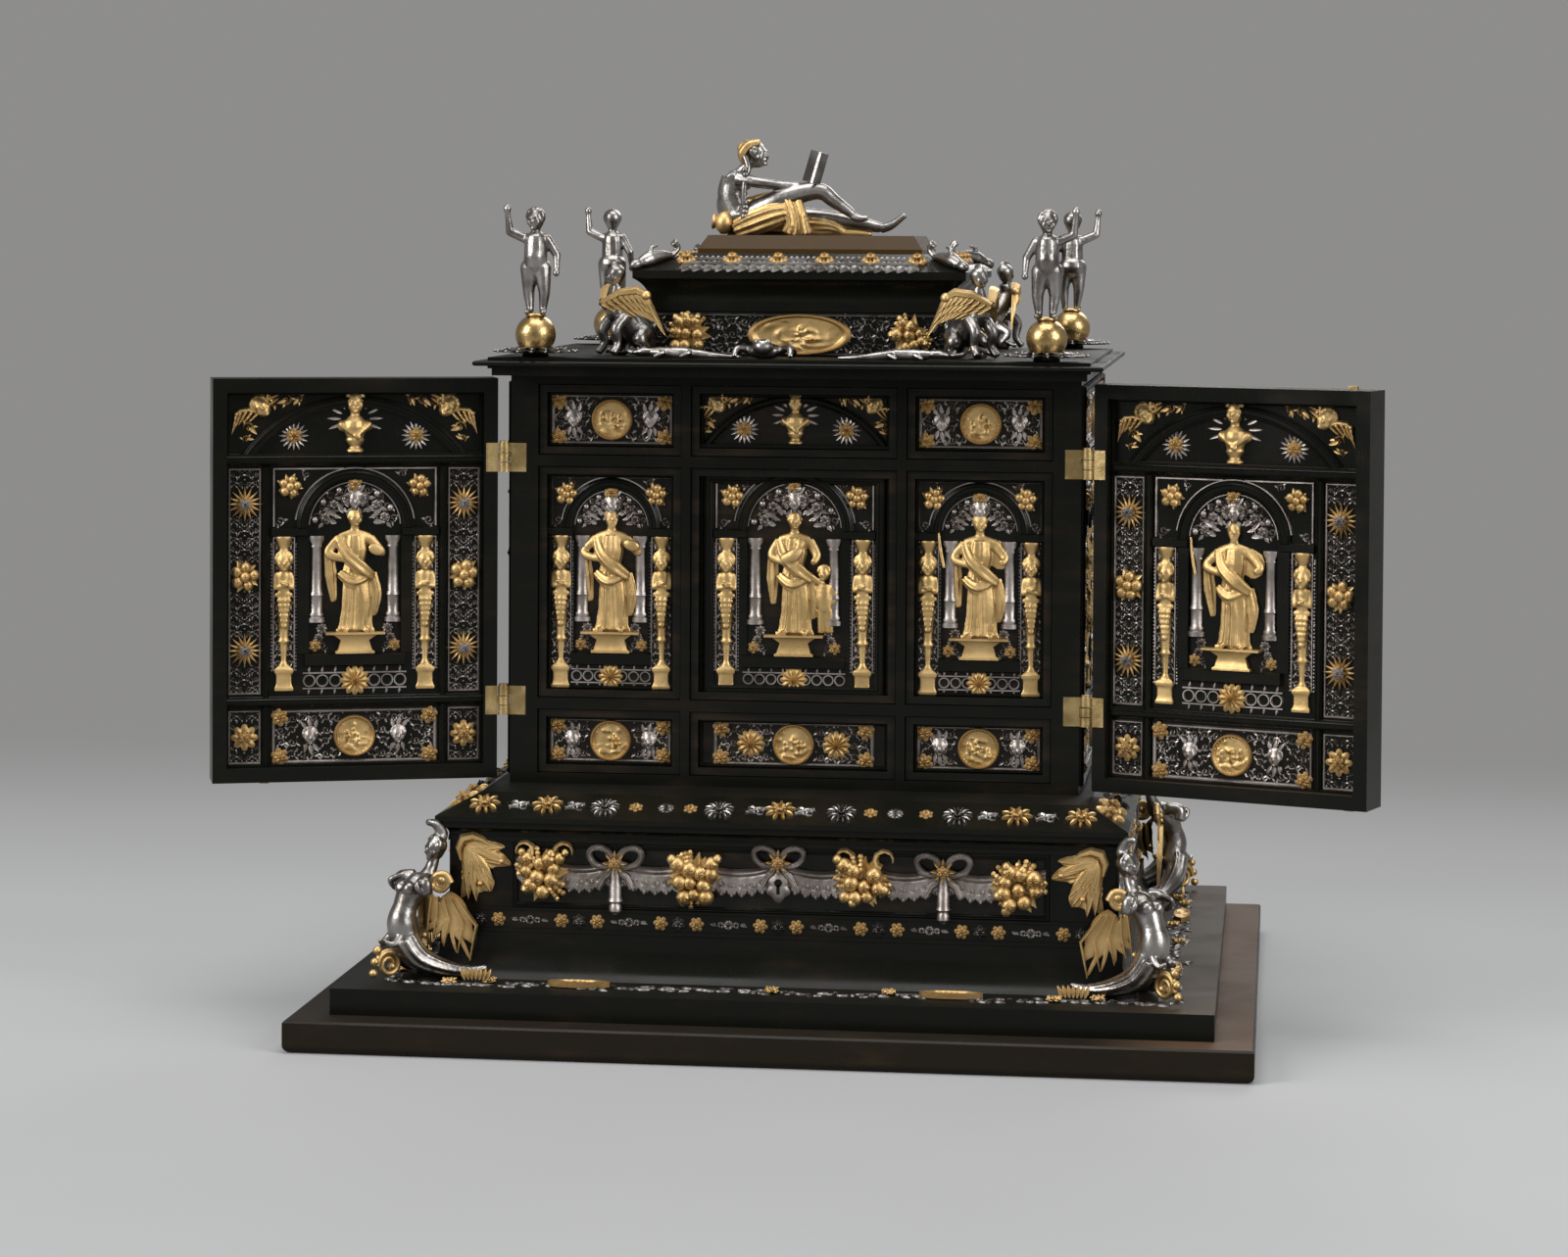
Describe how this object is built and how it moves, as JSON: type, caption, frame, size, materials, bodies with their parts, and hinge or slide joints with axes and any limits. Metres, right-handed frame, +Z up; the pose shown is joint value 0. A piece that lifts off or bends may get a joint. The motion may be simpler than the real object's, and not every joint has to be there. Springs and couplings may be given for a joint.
{
  "type": "table cabinet",
  "caption": "Ebony table cabinet on a stepped base: two doors over a grid of drawers, a base drawer, a hinged crown, silver and gilt mounts, hinges and bolts.",
  "frame": {"origin": "bottom centre of the base board", "axes": "+X to the right of the front, +Y towards the back, +Z up"},
  "size_m": [0.6276, 0.44, 0.4782],
  "materials": {
    "ebony": "polished ebony, near black",
    "board": "dark brown stained wood, waxed",
    "silver": "cast and chased silver, tarnished in its hollows",
    "gilt": "fire-gilt silver, soft polish",
    "brass": "aged brass"
  },
  "bodies": {
    "root": {"base_board": "board", "plinth_step": "ebony", "step_mounts": "silver", "case_foot": "ebony", "case_walls": "ebony", "moulding_mounts": "silver", "case_cornice": "ebony", "slope_mounts": "gilt", "carcass_shell": "ebony", "drawer_dividers": "ebony", "main_cornice": "ebony", "attic_case": "ebony", "attic_mounts": "silver", "cornice_beasts": "silver", "globes": "gilt", "putti": "silver", "corner_harpies": "silver", "harpy_wings": "gilt", "side_mounts": "silver", "case_hinge_leaves": "brass", "hinge_pins": "brass"},
    "left_door": {"left_door_panel": "ebony", "left_door_mounts": "silver", "left_door_figure": "gilt", "left_door_hinge_leaves": "brass"},
    "right_door": {"right_door_panel": "ebony", "right_door_mounts": "silver", "right_door_figure": "gilt", "right_door_hinge_leaves": "brass"},
    "left_bottom_bolt": {"left_bottom_bolt": "brass"},
    "right_top_bolt": {"right_top_bolt": "brass"},
    "right_bottom_bolt": {"right_bottom_bolt": "brass"},
    "base_drawer": {"base_drawer": "ebony", "base_drawer_mounts": "silver"},
    "lid": {"lid_case": "ebony", "lid_mounts": "silver", "pedestal": "board", "reclining_figure": "silver", "lid_hinge_leaves": "brass"},
    "bottom_left_drawer": {"bottom_left_drawer": "ebony", "bottom_left_drawer_mounts": "silver"},
    "bottom_centre_drawer": {"bottom_centre_drawer": "ebony", "bottom_centre_drawer_mounts": "silver"},
    "bottom_right_drawer": {"bottom_right_drawer": "ebony", "bottom_right_drawer_mounts": "silver"},
    "middle_left_drawer": {"middle_left_drawer": "ebony", "middle_left_drawer_mounts": "silver", "left_niche_figure": "gilt"},
    "middle_centre_drawer": {"middle_centre_drawer": "ebony", "middle_centre_drawer_mounts": "silver", "centre_niche_figure": "gilt"},
    "middle_right_drawer": {"middle_right_drawer": "ebony", "middle_right_drawer_mounts": "silver", "right_niche_figure": "gilt"},
    "top_left_drawer": {"top_left_drawer": "ebony", "top_left_drawer_mounts": "silver"},
    "top_centre_drawer": {"top_centre_drawer": "ebony", "top_centre_drawer_mounts": "silver"},
    "top_right_drawer": {"top_right_drawer": "ebony", "top_right_drawer_mounts": "silver"}
  },
  "joints": [
    {"name": "left_door_hinge", "type": "hinge", "parent": "root", "child": "left_door", "pos_m": [-0.158, -0.0984, 0.2375], "axis": [0, 0, -1], "range_deg": [-161, 19]},
    {"name": "right_door_hinge", "type": "hinge", "parent": "root", "child": "right_door", "pos_m": [0.158, -0.0984, 0.2375], "axis": [0, 0, 1], "range_deg": [-160, 20]},
    {"name": "left_bottom_bolt_slide", "type": "slide", "parent": "left_door", "child": "left_bottom_bolt", "axis": [0, 0, -1], "range_m": [-0.002, 0.004]},
    {"name": "right_top_bolt_slide", "type": "slide", "parent": "right_door", "child": "right_top_bolt", "axis": [0, 0, 1], "range_m": [-0.002, 0.004]},
    {"name": "right_bottom_bolt_slide", "type": "slide", "parent": "right_door", "child": "right_bottom_bolt", "axis": [0, 0, -1], "range_m": [-0.002, 0.004]},
    {"name": "base_drawer_slide", "type": "slide", "parent": "root", "child": "base_drawer", "axis": [0, -1, 0], "range_m": [0, 0.12]},
    {"name": "lid_hinge", "type": "hinge", "parent": "root", "child": "lid", "pos_m": [0, 0.0981, 0.383], "axis": [-1, 0, 0], "range_deg": [0, 85]},
    {"name": "bottom_left_drawer_slide", "type": "slide", "parent": "root", "child": "bottom_left_drawer", "axis": [0, -1, 0], "range_m": [0, 0.1]},
    {"name": "bottom_centre_drawer_slide", "type": "slide", "parent": "root", "child": "bottom_centre_drawer", "axis": [0, -1, 0], "range_m": [0, 0.1]},
    {"name": "bottom_right_drawer_slide", "type": "slide", "parent": "root", "child": "bottom_right_drawer", "axis": [0, -1, 0], "range_m": [0, 0.1]},
    {"name": "middle_left_drawer_slide", "type": "slide", "parent": "root", "child": "middle_left_drawer", "axis": [0, -1, 0], "range_m": [0, 0.1]},
    {"name": "middle_centre_drawer_slide", "type": "slide", "parent": "root", "child": "middle_centre_drawer", "axis": [0, -1, 0], "range_m": [0, 0.1]},
    {"name": "middle_right_drawer_slide", "type": "slide", "parent": "root", "child": "middle_right_drawer", "axis": [0, -1, 0], "range_m": [0, 0.1]},
    {"name": "top_left_drawer_slide", "type": "slide", "parent": "root", "child": "top_left_drawer", "axis": [0, -1, 0], "range_m": [0, 0.1]},
    {"name": "top_centre_drawer_slide", "type": "slide", "parent": "root", "child": "top_centre_drawer", "axis": [0, -1, 0], "range_m": [0, 0.1]},
    {"name": "top_right_drawer_slide", "type": "slide", "parent": "root", "child": "top_right_drawer", "axis": [0, -1, 0], "range_m": [0, 0.1]}
  ]
}
